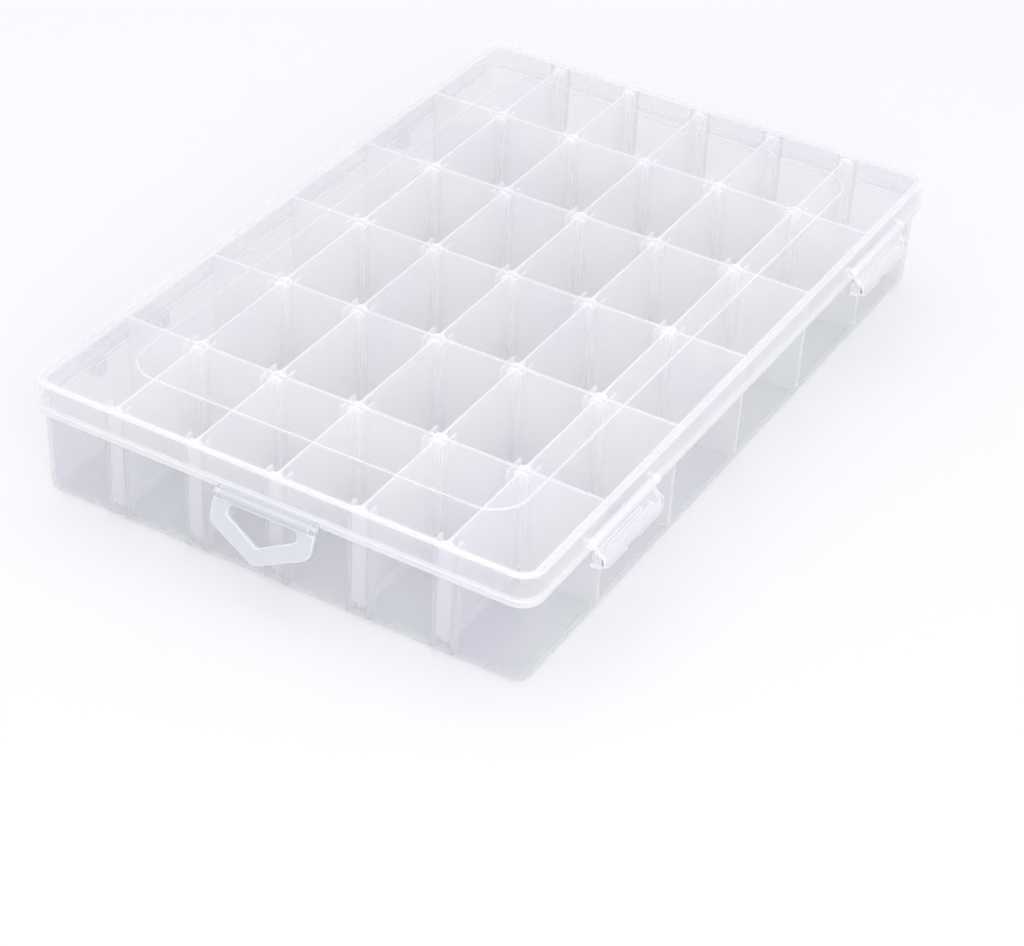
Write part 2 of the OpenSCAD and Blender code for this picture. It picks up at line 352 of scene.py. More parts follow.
@dataclass
class Surface:
    """Faces of one piece as they are gathered, with the painted edge highlight of each corner."""

    points: list[Point] = field(default_factory=list)
    faces: list[list[int]] = field(default_factory=list)
    painted_highlights: list[list[float]] = field(default_factory=list)

    def loft(
        self,
        rings: Sequence[Sequence[Point]],
        painted_highlight: Callable[[int, int], float],
    ) -> None:
        """Join closed rings of equal length into a closed skin.

        Args:
            rings: The rings in order; the first and last are capped.
            painted_highlight: Gives the painted edge highlight of point number `k` on ring number
                `i`.
        """
        base, count = len(self.points), len(rings[0])
        for ring in rings:
            self.points += ring
        for i in range(len(rings) - 1):
            for k in range(count):
                corners = [(i, k), (i, (k + 1) % count), (i + 1, (k + 1) % count), (i + 1, k)]
                self.faces.append([base + r * count + p for r, p in corners])
                self.painted_highlights.append([painted_highlight(r, p) for r, p in corners])
        last = len(rings) - 1
        for ring, order in ((0, range(count - 1, -1, -1)), (last, range(count))):
            self.faces.append([base + ring * count + p for p in order])
            self.painted_highlights.append([painted_highlight(ring, p) for p in order])

    def shell(self, rings: Sequence[Ring], half_x: float, half_y: float, steps: int) -> None:
        """Loft rings round a rounded rectangle.

        Args:
            rings: The rings, each with its plan radius.
            half_x: Half length of the box that insets are measured from.
            half_y: Half its width.
            steps: Chords in each corner.
        """
        placed = [
            [
                (x, y, ring.height)
                for x, y in rounded_rectangle(
                    half_x - ring.inset, half_y - ring.inset, max(ring.radius or 0.0, 0.2), steps
                )
            ]
            for ring in rings
        ]
        self.loft(placed, lambda i, k: rings[i].painted_highlight)

    def prism(
        self,
        loops: Sequence[Sequence[Flat]],
        depth: float,
        bevel: float,
        place: Matrix,
        painted_highlight: float = 1.0,
        face_painted_highlight: float = 0.0,
    ) -> None:
        """Extrude an outline both ways from its plane and round its edges.

        Args:
            loops: The outline first, then its holes.
            depth: Whole depth of the prism.
            bevel: Radius of the rounded edges.
            place: Takes (u, v, depth) to the frame.
            painted_highlight: Painted highlight of the rounded edges.
            face_painted_highlight: Painted highlight of the other faces.
        """
        work = bmesh.new()
        edges = []
        for loop in loops:
            ring = [work.verts.new((u, v, -depth / 2)) for u, v in loop]
            edges += [work.edges.new((a, b)) for a, b in zip(ring, ring[1:] + ring[:1])]
        if len(loops) == 1:
            bmesh.ops.contextual_create(work, geom=edges)
        else:
            bmesh.ops.triangle_fill(work, use_beauty=True, edges=edges)
        grown = bmesh.ops.extrude_face_region(work, geom=work.faces[:])["geom"]
        moved = [g for g in grown if isinstance(g, bmesh.types.BMVert)]
        bmesh.ops.translate(work, verts=moved, vec=(0, 0, depth))
        bmesh.ops.recalc_face_normals(work, faces=work.faces[:])
        sharp = [e for e in work.edges if len(e.link_faces) == 2 and e.calc_face_angle() > 0.5]
        bmesh.ops.bevel(
            work, geom=sharp, offset=bevel, segments=3, profile=0.5, affect="EDGES",
            clamp_overlap=True, material=1,
        )
        work.transform(place)
        if place.determinant() < 0:
            bmesh.ops.reverse_faces(work, faces=work.faces[:])
        base = len(self.points)
        work.verts.index_update()
        self.points += [tuple(v.co) for v in work.verts]
        for face in work.faces:
            self.faces.append([base + v.index for v in face.verts])
            level = painted_highlight if face.material_index == 1 else face_painted_highlight
            self.painted_highlights.append([level] * len(face.verts))
        work.free()

    def build(
        self, name: str, finish: Finish, body: str, stands_for: Iterable[str] = ()
    ) -> bpy.types.Object:
        """Make the piece, dress it and let it ride.

        Args:
            name: Name of the piece.
            finish: Its finish.
            body: Body that it rides on.
            stands_for: CAD nodes that it replaces.

        Returns:
            The finished object.
        """
        mesh = bpy.data.meshes.new(name)
        mesh.from_pydata([Vector(p) * MM for p in self.points], [], self.faces)
        # Each corner's painted edge highlight goes onto the mesh as the edge attribute
        painted_highlight = mesh.attributes.new(EDGE, "FLOAT", "CORNER")
        painted_highlight.data.foreach_set("value", [level for face in self.painted_highlights for level in face])
        mesh.polygons.foreach_set("use_smooth", [True] * len(mesh.polygons))
        mesh.validate()
        mesh.set_sharp_from_angle(angle=SMOOTH_BELOW)
        mesh.materials.append(finish.value.material())
        piece = bpy.data.objects.new(name, mesh)
        bpy.context.scene.collection.objects.link(piece)
        settle(piece, finish, body, stands_for)
        return piece


def settle(
    piece: bpy.types.Object, finish: Finish, body: str, stands_for: Iterable[str] = ()
) -> None:
    """Tell the frame what a piece rides on and stands for.

    Args:
        piece: The finished piece.
        finish: Its finish; not used.
        body: Body that it rides on.
        stands_for: CAD nodes that it replaces.
    """
    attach(piece, body)
    for node in stands_for:
        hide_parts(node)
    LOG.info("%s: %d faces, rides on %s", piece.name, len(piece.data.polygons), body)


# Takes (u, v, depth) to the frame: u, v and depth become the named axes
ALONG_X = Matrix(((0, 0, 1, 0), (1, 0, 0, 0), (0, 1, 0, 0), (0, 0, 0, 1)))
ALONG_Y = Matrix(((1, 0, 0, 0), (0, 0, -1, 0), (0, 1, 0, 0), (0, 0, 0, 1)))


def shifted(place: Matrix, x: float = 0.0, y: float = 0.0, z: float = 0.0) -> Matrix:
    """A placing matrix moved by x, y and z in the frame."""
    return Matrix.Translation((x, y, z)) @ place


# The box


@dataclass(frozen=True)
class BoxSizes:
    """Sizes that the parts of the box share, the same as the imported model's."""

    half_length: float = 137.0
    half_width: float = 88.5
    corner: float = 7.5
    rim: float = 42.0
    panel_rise: float = 0.4
    skirt_bottom: float = 32.0
    underside: float = 40.8
    tray_top: float = 40.5
    partition_top: float = 40.0
    tray_inset: float = 2.0
    draft: float = 0.4
    wall: float = 1.3
    floor: float = 1.3
    columns: int = 6
    rows: int = 6
    column_pitch: float = 45.2
    row_pitch: float = 87.1 / 3
    hinge_x: float = 88.0
    hinge_y: float = 91.7
    hinge_z: float = 28.1
    latch_out: float = 1.9
    latch_z: float = 36.6
    corner_steps: int = 14

    def column_line(self, number: int) -> float:
        """Where partition line `number` stands along X."""
        return (number - self.columns / 2) * self.column_pitch

    def row_line(self, number: int) -> float:
        """Where divider line `number` stands along Y."""
        return (number - self.rows / 2) * self.row_pitch


@dataclass
class Tray:
    """The tray: drafted shell with its ledge, partitions, guide ribs, cheeks and ears."""

    box: BoxSizes
    ledge_bottom: float = 29.8
    ledge_top: float = 31.7
    ledge_inset: float = 0.4
    ledge_round: float = 0.35
    rim_round: float = 0.4
    edge_round: float = 3.0
    wall_foot: float = 5.2
    below_ledge: float = 28.6
    above_ledge: float = 33.0
    below_rim: float = 38.8
    inner_foot: float = 4.6
    partition_thickness: float = 1.2
    rib_thickness: float = 0.9
    rib_depth: float = 3.6
    rib_offset: float = 3.4
    rib_round: float = 0.28
    tip_highlight_run: float = 0.6
    crown_highlight_run: float = 1.7
    cheek_width: float = 5.0
    cheek_offset: float = 13.8
    barrel_radius: float = 2.6
    bore_radius: float = 1.48
    tab_axis_x: float = -138.2
    tab_axis_z: float = 30.1
    tab_ear_radius: float = 1.5
    tab_ear_width: float = 1.8
    tab_ear_y: float = 16.9
    tab_bore: float = 0.73
    wall_root: float = 2.85
    rib_foot: float = 0.4
    end_rib_root: float = 3.2
    rib_sink: float = 0.5

    def wall_inset(self, height: float) -> float:
        """Inset of the wall's outer face at a height."""
        share = min(max((height - 3.0) / 34.5, 0.0), 1.0)
        return self.box.tray_inset + self.box.draft * (1 - share)

    def rings(self) -> list[Ring]:
        """The shell's rings, from under the floor, up outside, over the rim and down inside."""
        box, edge = self.box, self.edge_round
        low = box.tray_inset + box.draft
        # The ledge and the rim carry a full painted highlight, the bottom and inner foot roundings
        # a faint one
        found = [Ring(low + edge + 2.0, 0.0), Ring(low + edge, 0.0, 0.05)]
        found += bend(low + edge, edge, edge, (-75, 0), 5, 0.12)
        found += [Ring(self.wall_inset(z), z) for z in (self.wall_foot, self.below_ledge)]
        found.append(Ring(self.wall_inset(self.ledge_bottom - 0.2), self.ledge_bottom, 0.5))
        nose = self.ledge_round
        out = self.ledge_inset + nose
        found += bend(out, self.ledge_bottom + nose, nose, (-90, 0), 3, 1.0)
        found += bend(out, self.ledge_top - nose, nose, (0, 90), 3, 1.0)
        found.append(Ring(self.wall_inset(self.ledge_top), self.ledge_top, 0.5))
        found.append(Ring(self.wall_inset(self.above_ledge), self.above_ledge))
        found.append(Ring(box.tray_inset, self.below_rim))
        nose, inner = self.rim_round, box.tray_inset + box.wall
        found += bend(box.tray_inset + nose, box.tray_top - nose, nose, (0, 90), 3, 1.0)
        found += bend(inner - nose, box.tray_top - nose, nose, (90, 180), 3, 1.0)
        found.append(Ring(inner, self.below_rim))
        low_inner = low + box.wall
        found.append(Ring(low_inner, self.inner_foot))
        radius = edge - box.wall
        found += bend(low_inner + radius, box.floor + radius, radius, (0, -90), 4, 0.1)
        found.append(Ring(low_inner + radius + 2.0, box.floor))
        return [
            Ring(r.inset, r.height, r.painted_highlight, self.plan_radius(r)) for r in found
        ]

    def plan_radius(self, ring: Ring) -> float:
        """Plan radius of a ring, which keeps the wall's corners concentric."""
        share = min(max((ring.height - 3.0) / 34.5, 0.0), 1.0)
        return self.box.corner + self.box.draft * (1 - share) - ring.inset

    def partitions(self, skin: Surface) -> None:
        """Add the five fixed partitions, each with its foot in the floor."""
        box = self.box
        foot = box.floor / 2
        top, bottom = self.mid_wall(37.5), self.mid_wall(3.0)
        radius = self.edge_round - foot
        right = arc((bottom - radius, foot + radius), radius, -90, 0, 5)
        outline = [*right, (top, box.partition_top), (-top, box.partition_top)]
        outline += [(-u, v) for u, v in reversed(right)]
        for c in range(1, box.columns):
            skin.prism(
                [outline], self.partition_thickness, 0.3, shifted(ALONG_X, x=box.column_line(c)),
                painted_highlight=0.12,
            )
        # Where a partition runs into the long walls, its end gets a full painted highlight and
        # shows as a bright upright line
        for face, painted_highlights in zip(skin.faces, skin.painted_highlights):
            if all(abs(skin.points[k][1]) > bottom - 0.4 for k in face):
                painted_highlights[:] = [1.0] * len(painted_highlights)

    def mid_wall(self, height: float) -> float:
        """Distance from the middle of the box to the middle of its long wall."""
        return self.box.half_width - self.wall_inset(height) - self.box.wall / 2

    def cheeks(self, skin: Surface) -> None:
        """Add the four hinge cheeks, each with its bore."""
        box = self.box
        root = box.half_width - self.wall_root
        outline = [(root, box.hinge_z - self.barrel_radius)]
        outline += arc((box.hinge_y, box.hinge_z), self.barrel_radius, -90, 90, 14)
        outline += [(root, box.hinge_z + self.barrel_radius)]
        bore = arc((box.hinge_y, box.hinge_z), self.bore_radius, 0, 345, 23)
        for side in (-1, 1):
            for end in (-1, 1):
                middle = side * box.hinge_x + end * (self.cheek_offset + self.cheek_width / 2)
                skin.prism([outline, bore], self.cheek_width, 0.3, shifted(ALONG_X, x=middle))

    def ears(self, skin: Surface) -> None:
        """Add the two ears that carry the hang tab."""
        root = -self.box.half_length + self.wall_root
        outline = [(root, self.tab_axis_z - self.tab_ear_radius)]
        outline += [(root, self.tab_axis_z + self.tab_ear_radius)]
        outline += arc((self.tab_axis_x, self.tab_axis_z), self.tab_ear_radius, 90, 270, 12)
        bore = arc((self.tab_axis_x, self.tab_axis_z), self.tab_bore, 0, 330, 11)
        for side in (-1, 1):
            place = shifted(ALONG_Y, y=side * self.tab_ear_y)
            skin.prism([outline, bore], self.tab_ear_width, 0.25, place)

    def rib_tree(self, finish: Finish) -> bpy.types.NodeTree:
        """Build the node tree that stands guide ribs at every crossing.

        Args:
            finish: Finish of the ribs.

        Returns:
            The tree, with the ribs' sizes as its named inputs.
        """
        tree = bpy.data.node_groups.new("guide_ribs", "GeometryNodeTree")
        face = tree.interface
        for label, kind, value in (
            ("Rib Reach", "NodeSocketFloat", 0.0),
            ("Rib Thickness", "NodeSocketFloat", self.rib_thickness * MM),
            ("Rib Height", "NodeSocketFloat", 0.0),
            ("Rib Offset", "NodeSocketFloat", self.rib_offset * MM),
            ("Foot Height", "NodeSocketFloat", 0.0),
            ("Grid Length", "NodeSocketFloat", (self.box.columns - 2) * self.box.column_pitch * MM),
            ("Grid Width", "NodeSocketFloat", (self.box.rows - 2) * self.box.row_pitch * MM),
            ("Column Lines", "NodeSocketInt", self.box.columns - 1),
            ("Row Lines", "NodeSocketInt", self.box.rows - 1),
        ):
            face.new_socket(label, in_out="INPUT", socket_type=kind).default_value = value
        face.new_socket("Geometry", in_out="OUTPUT", socket_type="NodeSocketGeometry")
        given = add_node(tree, "NodeGroupInput").outputs
        plan = add_node(tree, "GeometryNodeCurvePrimitiveQuadrilateral", {
            "Width": given["Rib Reach"], "Height": given["Rib Thickness"],
        }).outputs["Curve"]
        plan = add_node(tree, "GeometryNodeFilletCurve", {
            "Curve": plan, "Radius": self.rib_round * MM, "Count": 3,
        }, mode="POLY").outputs["Curve"]
        top = add_node(tree, "ShaderNodeCombineXYZ", {"Z": given["Rib Height"]}).outputs[0]
        rise = add_node(tree, "GeometryNodeCurvePrimitiveLine", {
            "Start": (0.0, 0.0, 0.0), "End": top,
        }).outputs["Curve"]
        rise = add_node(tree, "GeometryNodeResampleCurve", {
            "Curve": rise, "Count": 24,
        }).outputs["Curve"]
        rib = add_node(tree, "GeometryNodeCurveToMesh", {
            "Curve": rise, "Profile Curve": plan, "Fill Caps": True,
        }).outputs["Mesh"]
        place = add_node(tree, "GeometryNodeInputPosition").outputs[0]
        parts = add_node(tree, "ShaderNodeSeparateXYZ", {"Vector": place}).outputs
        along = add_node(tree, "ShaderNodeMath", {0: parts["X"]}, operation="ABSOLUTE").outputs[0]
        half = add_node(tree, "ShaderNodeMath", {
            0: given["Rib Reach"], 1: 0.5,
        }, operation="MULTIPLY").outputs[0]
        # Painted highlight on each rib, fading in towards its tips and towards its top
        painted_highlights = []
        for value, end, run, level in (
            (along, half, self.tip_highlight_run, 0.12),
            (parts["Z"], given["Rib Height"], self.crown_highlight_run, 0.08),
        ):
            past = add_node(tree, "ShaderNodeMath", {
                0: value, 1: end,
            }, operation="SUBTRACT").outputs[0]
            painted_highlights.append(add_node(tree, "ShaderNodeMapRange", {
                "Value": past, "From Min": -run * MM, "From Max": 0.0,
                "To Min": 0.0, "To Max": level,
            }).outputs["Result"])
        painted_highlight = add_node(tree, "ShaderNodeMath", {
            0: painted_highlights[0], 1: painted_highlights[1],
        }, operation="MAXIMUM").outputs[0]
        rib = add_node(tree, "GeometryNodeStoreNamedAttribute", {
            "Geometry": rib, "Name": EDGE, "Value": painted_highlight,
        }, data_type="FLOAT", domain="POINT").outputs["Geometry"]
        grid = add_node(tree, "GeometryNodeMeshGrid", {
            "Size X": given["Grid Length"], "Size Y": given["Grid Width"],
            "Vertices X": given["Column Lines"], "Vertices Y": given["Row Lines"],
        }).outputs["Mesh"]
        pairs = []
        for side in (-1.0, 1.0):
            offset = add_node(tree, "ShaderNodeMath", {
                0: given["Rib Offset"], 1: side,
            }, operation="MULTIPLY").outputs[0]
            aside = add_node(tree, "ShaderNodeCombineXYZ", {
                "Y": offset, "Z": given["Foot Height"],
            }).outputs[0]
            pairs.append(add_node(tree, "GeometryNodeSetPosition", {
                "Geometry": grid, "Offset": aside,
            }).outputs["Geometry"])
        both = add_node(tree, "GeometryNodeJoinGeometry")
        for pair in pairs:
            tree.links.new(pair, both.inputs[0])
        stood = add_node(tree, "GeometryNodeInstanceOnPoints", {
            "Points": both.outputs[0], "Instance": rib,
        }).outputs["Instances"]
        real = add_node(tree, "GeometryNodeRealizeInstances", {"Geometry": stood}).outputs[0]
        dressed = add_node(tree, "GeometryNodeSetMaterial", {
            "Geometry": real, "Material": finish.value.material(),
        }).outputs["Geometry"]
        add_node(tree, "NodeGroupOutput", {"Geometry": dressed})
        return tree

    def ribs(
        self, tree: bpy.types.NodeTree, name: str, values: dict[str, float]
    ) -> bpy.types.Object:
        """Stand one set of guide ribs with the node tree and keep the plain mesh.

        Args:
            tree: The tree that `rib_tree` built.
            name: Name of the piece.
            values: Sizes by the name of the tree's input.

        Returns:
            The ribs as one plain mesh.
        """
        holder = bpy.data.objects.new(name, bpy.data.meshes.new(name + "_seed"))
        bpy.context.scene.collection.objects.link(holder)
        ribs = holder.modifiers.new("ribs", "NODES")
        ribs.node_group = tree
        sockets = {
            s.name: s.identifier for s in tree.interface.items_tree if s.in_out == "INPUT"
        }
        for label, value in values.items():
            ribs[sockets[label]] = value
        view = bpy.context.evaluated_depsgraph_get()
        mesh = bpy.data.meshes.new_from_object(holder.evaluated_get(view))
        mesh.name = name
        holder.modifiers.clear()
        holder.data = mesh
        mesh.polygons.foreach_set("use_smooth", [True] * len(mesh.polygons))
        mesh.set_sharp_from_angle(angle=SMOOTH_BELOW)
        return holder

    def make(self) -> None:
        """Build the tray's pieces and dress them."""
        box = self.box
        skin = Surface()
        skin.shell(self.rings(), box.half_length, box.half_width, box.corner_steps)
        skin.build("tray_shell", Finish.TRAY, "tray", ["tray"])
        walls = Surface()
        self.partitions(walls)
        walls.build("tray_partitions", Finish.WEB, "tray")
        lugs = Surface()
        self.cheeks(lugs)
        self.ears(lugs)
        lugs.build("tray_hinge_cheeks", Finish.TRAY, "tray")
        tree = self.rib_tree(Finish.WEB)
        foot = box.floor - self.rib_foot
        shared = {"Rib Height": (box.partition_top - foot) * MM, "Foot Height": foot * MM}
        inner = self.ribs(tree, "tray_guide_ribs", {
            **shared, "Rib Reach": (self.partition_thickness + 2 * self.rib_depth) * MM,
        })
        settle(inner, Finish.WEB, "tray")
        wall_x = box.half_length - self.end_rib_root
        outer = self.ribs(tree, "tray_end_ribs", {
            **shared, "Rib Reach": 2 * (self.rib_depth + self.rib_sink) * MM,
            "Column Lines": 2, "Grid Length": 2 * wall_x * MM,
        })
        self.cut_outside(outer, wall_x)
        settle(outer, Finish.WEB, "tray")

    def cut_outside(self, ribs: bpy.types.Object, wall_x: float) -> None:
        """Take away the half of the end ribs that would pass through the end walls.

        Args:
            ribs: The end ribs' object.
            wall_x: Distance of the ribs' middle from the middle of the box.
        """
        work = bmesh.new()
        work.from_mesh(ribs.data)
        for side in (-1, 1):
            plane = bmesh.ops.bisect_plane(
                work, geom=work.verts[:] + work.edges[:] + work.faces[:],
                plane_co=(side * wall_x * MM, 0, 0), plane_no=(side, 0, 0), clear_outer=True,
            )["geom_cut"]
            rim = [g for g in plane if isinstance(g, bmesh.types.BMEdge)]
            bmesh.ops.holes_fill(work, edges=rim)
        work.to_mesh(ribs.data)
        work.free()


@dataclass
class Lid:
    """The lid: top with its raised panel, skirt, hinge lugs and latch ears."""

    box: BoxSizes
    wall: float = 1.2
    inner_round: float = 0.8
    lip_round: float = 0.3
    edge_round: float = 1.5
    panel_inset: float = 20.2
    panel_corner: float = 12.0
    barrel_length: float = 27.0
    barrel_radius: float = 2.6
    trunnion_radius: float = 1.4
    lug_thickness: float = 1.8
    lug_top: float = 39.0
    lug_slope: float = 2.5
    latch_half: float = 18.0
    ear_width: float = 1.7
    ear_radius: float = 1.6
    ear_bore: float = 0.98
    side_gap: float = 0.3
    pin_length: float = 37.6

    def rings(self) -> list[Ring]:
        """The shell's rings, from the underside down inside, round the lip and up outside."""
        box, wall = self.box, self.wall
        panel, corner = self.panel_inset, self.panel_corner
        under, lip = box.underside, box.skirt_bottom
        found = [
            Ring(panel + 3.0, under + box.panel_rise, 0.0, corner - 2.8),
            Ring(panel + wall + 0.3, under + box.panel_rise, 0.1, corner - wall - 0.3),
            Ring(panel + wall, under + 0.1, 0.1, corner - wall),
            Ring(panel + wall - 0.3, under, 0.0, corner - wall + 0.3),
            Ring(4.0, under, 0.0),
        ]
        inside, nose = self.inner_round, self.lip_round
        found += bend(wall + inside, under - inside, inside, (90, 0), 3, 0.3)
        found += [Ring(wall, 38.4, 0.15), Ring(wall, lip + 1.6, 0.15)]
        # The skirt's lip carries a full painted highlight
        found += bend(wall - nose, lip + nose, nose, (-180, -90), 3, 1.0)
        found += bend(nose, lip + nose, nose, (-90, 0), 3, 1.0)
        found += [Ring(0.0, lip + 1.4, 0.25), Ring(0.0, 39.6, 0.25)]
        edge = self.edge_round
        # A painted highlight band runs round the rounded top edge, strongest halfway round it
        for x, z in arc((-edge, box.rim - edge), edge, 0, 90, 8):
            found.append(Ring(-x, z, 0.3 + 0.7 * math.sin(math.pi * (z - box.rim + edge) / edge)))
        found += [Ring(edge + 1.3, box.rim), Ring(panel - 1.0, box.rim, 0.0, corner + 1.0)]
        # The panel's step carries a thin painted highlight line
        found += [
            Ring(panel - 0.2, box.rim, 0.3, corner + 0.2),
            Ring(panel, box.rim + 0.1, 0.8, corner),
            Ring(panel + 0.15, box.rim + box.panel_rise - 0.08, 0.8, corner - 0.15),
            Ring(panel + 0.4, box.rim + box.panel_rise, 0.5, corner - 0.4),
            Ring(panel + 0.9, box.rim + box.panel_rise, 0.0, corner - 0.9),
        ]
        return [
            Ring(r.inset, r.height, r.painted_highlight, box.corner - r.inset if r.radius is None else r.radius)
            for r in found
        ]

    def lugs(self, skin: Surface) -> None:
        """Add the two hinge lugs and their trunnions."""
        box = self.box
        face, inside = box.half_width, box.half_width - self.wall / 2
        outline = [
            (inside, self.lug_top), (inside, box.skirt_bottom + self.wall),
            (face, box.skirt_bottom + self.wall), (face, box.hinge_z),
            (box.hinge_y - self.barrel_radius, box.hinge_z),
        ]
        outline += arc((box.hinge_y, box.hinge_z), self.barrel_radius, 190, 450, 26)
        outline.append((face + self.lug_thickness, self.lug_top - self.lug_slope))
        outline.append((face, self.lug_top))
        pin = arc((box.hinge_y, box.hinge_z), self.trunnion_radius, 0, 345, 23)
        for side in (-1, 1):
            place = shifted(ALONG_X, x=side * box.hinge_x)
            skin.prism([outline], self.barrel_length, 0.3, place, painted_highlight=0.9, face_painted_highlight=0.1)
            skin.prism([pin], self.pin_length, 0.25, place, face_painted_highlight=0.4)

    def ears(self, skin: Surface) -> None:
        """Add the four ears that carry the latches."""
        box = self.box
        axis = -box.half_width - box.latch_out
        root = -box.half_width + self.wall / 2
        outline = [(root, box.latch_z - self.ear_radius), (root, box.latch_z + self.ear_radius)]
        outline += arc((axis, box.latch_z), self.ear_radius, 90, 270, 12)
        bore = arc((axis, box.latch_z), self.ear_bore, 0, 330, 11)
        offset = self.latch_half + self.side_gap + self.ear_width / 2
        for side in (-1, 1):
            for end in (-1, 1):
                place = shifted(ALONG_X, x=side * box.hinge_x + end * offset)
                skin.prism([outline, bore], self.ear_width, 0.25, place, face_painted_highlight=0.25)

    def make(self) -> None:
        """Build the lid's pieces and dress them."""
        box = self.box
        skin = Surface()
        skin.shell(self.rings(), box.half_length, box.half_width, box.corner_steps)
        skin.build("lid_shell", Finish.LID, "lid", ["lid"])
        fittings = Surface()
        self.lugs(fittings)
        self.ears(fittings)
        fittings.build("lid_lugs_and_ears", Finish.LID, "lid")


@dataclass
class Latch:
    """A snap latch: barrel, cove, bowed lip with its notch, and the inner hook.

    Points of its end view are (outward from the lid's long side, height).
    """

    box: BoxSizes
    side: int
    length: float = 36.0
    reach: float = 6.0
    wall: float = 1.4
    end_round: float = 0.35
    barrel_radius: float = 1.6
    pin_radius: float = 0.9
    pin_out: float = 2.0
    cove: Flat = (8.2, 38.0)
    cove_radius: float = 6.0
    lip: Flat = (1.5, 33.7)
    lip_radius: float = 8.0
    lip_start: float = 27.086
    front: tuple[float, ...] = (32.2, 30.6, 29.1, 28.0)
    back: tuple[float, ...] = (29.1, 30.6, 31.6)
    bow: float = 1.9
    notch_half: float = 3.5
    notch_depth: float = 0.7
    notch_top: float = 29.1
    # Below this height the lip carries a stronger painted highlight
    painted_highlight_below: float = 27.6
    hook_out: tuple[Flat, ...] = ((-0.1, 26.7), (-0.1, 29.5), (0.6, 29.5), (1.3, 28.6), (1.3, 26.7))
    hook_end: float = 4.0

    def profile(self) -> list[Flat]:
        """End view of the cover as (outward, height): down the front, round the lip, up inside."""
        front = arc(self.cove, self.cove_radius, 193.5, 248.5, 10)
        front = [(min(u, self.reach), v) for u, v in front]
        low = math.degrees(math.asin((self.lip_start - self.lip[1]) / self.lip_radius))
        front += [(self.reach, v) for v in self.front]
        front += arc(self.lip, self.lip_radius, low, -91, 7)
        back = arc(self.lip, self.lip_radius - self.wall, -91, low + 4, 7)
        back += [(self.reach - self.wall, v) for v in self.back]
        back += arc(self.cove, self.cove_radius + self.wall, 240, 193.5, 8)
        return [*front, *back]

    def bent(self, u: float, v: float, x: float) -> Flat:
        """Where a profile point lies at a station.

        Args:
            u: Outward distance of the point.
            v: Its height.
            x: Station along the latch, from its middle.

        Returns:
            The point after the lip's bow and the notch.
        """
        share = min(abs(x) / (self.length / 2), 1.0)
        lift = self.bow * (0.35 * share**2 + 0.65 * max(0.0, (share - 0.72) / 0.28) ** 2.2)
        depth = min(max((32.0 - v) / 5.0, 0.0), 1.0)
        if abs(x) < self.notch_half and u > self.reach - 1.0 and v < self.notch_top:
            u -= self.notch_depth
        return u, v + lift * depth * depth * (3 - 2 * depth)

    def make(self) -> None:
        """Build the latch and dress it."""
        box = self.box
        middle = self.side * box.hinge_x
        skin = Surface()
        outline = self.profile()
        half = self.length / 2
        stops = [half - 0.12 * i for i in (0, 1, 3, 7)]
        stops += [half - 1.6, half - 2.6, half - 4, half - 6, half - 9, self.notch_half + 2.0]
        stops += [self.notch_half + 0.35, self.notch_half - 0.05]
        stations = sorted([-s for s in stops] + stops)
        rings = []
        for x in stations:
            into_end = max(0.0, self.end_round - (half - abs(x)))
            shrink = self.end_round - math.sqrt(max(0.0, self.end_round**2 - into_end**2))
            ring = []
            for k, (u, v) in enumerate(outline):
                before, after = outline[k - 1], outline[(k + 1) % len(outline)]
                normal = Vector((after[1] - before[1], before[0] - after[0])).normalized()
                a, b = self.bent(u + normal.x * shrink * 0.8, v + normal.y * shrink * 0.8, x)
                ring.append((middle + x, -box.half_width - a, b))
            rings.append(ring)

        def painted_highlight(i: int, k: int) -> float:
            """Painted highlight of the ends and of the lower lip."""
            if abs(stations[i]) > half - 0.5:
                return 1.0
            return 0.7 if outline[k][1] < self.painted_highlight_below else 0.12

        skin.loft(rings, painted_highlight)
        axis = (-box.half_width - box.latch_out, box.latch_z)
        barrel = arc(axis, self.barrel_radius, 0, 345, 23)
        pin = arc(axis, self.pin_radius, 0, 345, 15)
        place = shifted(ALONG_X, x=middle)
        skin.prism([barrel], self.length, 0.3, place, face_painted_highlight=0.3)
        skin.prism([pin], self.length + 2 * self.pin_out, 0.2, place, face_painted_highlight=0.3)
        hook = [(-box.half_width - u, v) for u, v in self.hook_out]
        skin.prism([hook], self.length - 2 * self.hook_end, 0.2, place, face_painted_highlight=0.3)
        name = "latch_left" if self.side < 0 else "latch_right"
        piece = skin.build(name + "_cover", Finish.LATCH, name, [name])
        turn_out(piece)


def turn_out(piece: bpy.types.Object) -> None:
    """Turn every face of a closed piece outwards."""
    work = bmesh.new()
    work.from_mesh(piece.data)
    bmesh.ops.recalc_face_normals(work, faces=work.faces[:])
    work.to_mesh(piece.data)
    work.free()


